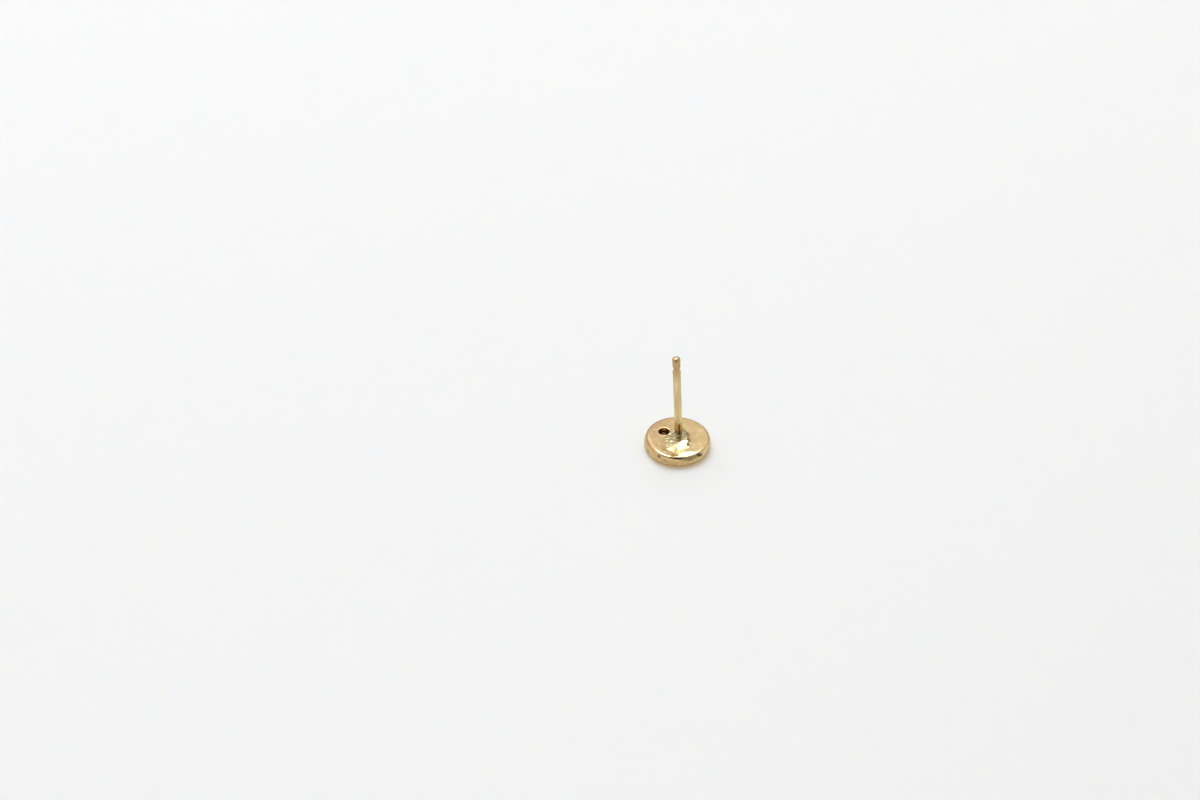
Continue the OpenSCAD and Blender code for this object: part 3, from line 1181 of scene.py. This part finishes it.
SOFTBOXES = (
    # name, azimuth, elevation, distance, width and height in metres, radiance
    ("overhead_softbox", 108, 63, 0.8, 0.66, 0.34, 5.6),
    ("side_softbox", 125, 37, 0.8, 0.26, 0.3, 0.4),
)

# The photograph's camera: focal length in pixels, pitch, and where the middle of the disc's back is seen
FOCAL_PIXELS = 2090
PIXELS_PER_MM = 9.5
CAMERA_PITCH = 39.5
BACK_CENTRE_PIXEL = (677.5, 436.5)
SENSOR_WIDTH = 36


def make_floor():
    """Pale surface that the stud lies on."""
    corners = [(FLOOR_HALF * x, FLOOR_HALF * y, 0) for x, y in ((-1, -1), (1, -1), (1, 1), (-1, 1))]
    mesh = bpy.data.meshes.new("floor")
    mesh.from_pydata(corners, [], [(0, 1, 2, 3)])
    floor = bpy.data.objects.new("floor", mesh)
    bpy.context.scene.collection.objects.link(floor)
    mesh.materials.append(floor_material())


def direction(azimuth, elevation):
    """Unit vector towards a point of the sky. Azimuth 0 is +X and 90 is +Y."""
    a, e = math.radians(azimuth), math.radians(elevation)
    return (math.cos(a) * math.cos(e), math.sin(a) * math.cos(e), math.sin(e))


def wall_light(nodes, back, up):
    """Pale walls, dimmer low down behind the stud and in front of it."""
    wall = nodes.span(up, 0.05, 0.75, 0.96, 0.8)
    behind_and_low = nodes.times(nodes.span(back, 0.0, 0.6), nodes.span(up, 0.15, 0.7, 0.45, 0.0))
    in_front = nodes.span(back, -0.5, 0.2, 0.48, 0.0)
    dimmed = nodes.maths("ADD", behind_and_low, in_front)
    return nodes.times(wall, nodes.maths("SUBTRACT", 1.0, dimmed))


def opening_light(nodes, sky):
    """Share of light that is left in the dark opening, 1 outside it."""
    offset = nodes.add("VectorMath", {0: sky, 1: direction(*DARK_AT)}, operation="SUBTRACT").outputs[0]
    squeezed = nodes.stretch(offset, [1 / size for size in DARK_SIZE])
    away = nodes.add("VectorMath", {0: squeezed}, operation="LENGTH").outputs["Value"]
    dark = nodes.span(away, 0.85, 1.0, 1.0, 0.0)
    return nodes.maths("SUBTRACT", 1.0, nodes.times(dark, DARKNESS))


def make_world():
    """Pale surroundings with a dark opening, and an even backdrop for the camera's own rays."""
    world = bpy.data.worlds.new("studio")
    bpy.context.scene.world = world
    world.use_nodes = True
    nodes = Nodes(world.node_tree)
    sky = nodes.add("TexCoord").outputs["Generated"]
    _, back, up = nodes.add("SeparateXYZ", {0: sky}).outputs
    light = nodes.times(wall_light(nodes, back, up), opening_light(nodes, sky))
    seen = nodes.add("LightPath").outputs["Is Camera Ray"]
    unseen_light = nodes.times(light, nodes.maths("SUBTRACT", 1.0, seen))
    strength = nodes.maths("ADD", unseen_light, nodes.times(seen, BACKDROP))
    background = nodes.add("Background", {"Color": WHITE, "Strength": strength})
    nodes.add("OutputWorld", {"Surface": background.outputs[0]})


def make_softbox(name, azimuth, elevation, distance, width, height, radiance):
    """Rectangular light that faces the stud, with the radiance that its reflection shows."""
    light = bpy.data.lights.new(name, "AREA")
    light.shape = "RECTANGLE"
    light.size = width
    light.size_y = height
    light.energy = radiance * math.pi * width * height
    lamp = bpy.data.objects.new(name, light)
    bpy.context.scene.collection.objects.link(lamp)
    spot = Vector(direction(azimuth, elevation))
    lamp.location = spot * distance
    lamp.rotation_euler = spot.to_track_quat("Z", "Y").to_euler()


def make_camera():
    """Camera whose axis goes through the middle of the photograph, with the stud off it as it is there."""
    camera_data = bpy.data.cameras.new("camera")
    camera_data.sensor_width = SENSOR_WIDTH
    camera_data.lens = FOCAL_PIXELS / PHOTO_SIZE[0] * SENSOR_WIDTH
    camera_data.clip_start = 0.001
    camera_data.clip_end = 20
    camera = bpy.data.objects.new("camera", camera_data)
    pitch = math.radians(CAMERA_PITCH)
    forward = np.array([0, math.cos(pitch), -math.sin(pitch)])
    up = np.array([0, math.sin(pitch), math.cos(pitch)])
    distance = FOCAL_PIXELS / PIXELS_PER_MM
    right_mm = (BACK_CENTRE_PIXEL[0] - PHOTO_SIZE[0] / 2) / PIXELS_PER_MM
    down_mm = (BACK_CENTRE_PIXEL[1] - PHOTO_SIZE[1] / 2) / PIXELS_PER_MM
    target = np.array([0, 0, DISC_T])
    place = target - distance * forward - right_mm * np.array([1, 0, 0]) + down_mm * up
    camera.location = place * MM
    camera.rotation_euler = (math.pi / 2 - pitch, 0, 0)
    bpy.context.scene.collection.objects.link(camera)
    bpy.context.scene.camera = camera


def make_stage():
    """Camera, surroundings, lights and floor."""
    make_camera()
    make_world()
    for softbox in SOFTBOXES:
        make_softbox(*softbox)
    make_floor()
    bpy.context.scene.view_settings.view_transform = "Standard"


def make_stud():
    """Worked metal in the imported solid's place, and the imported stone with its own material."""
    metal = add_mesh("worked_gold", make_metal())
    add_shares(metal)
    metal.data.materials.append(gold_material())
    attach(metal, "root")
    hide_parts("disc_with_post")

    stone = frame["nodes"]["diamond"]
    stone.material_slots[0].material = diamond_material()


make_stage()
make_stud()
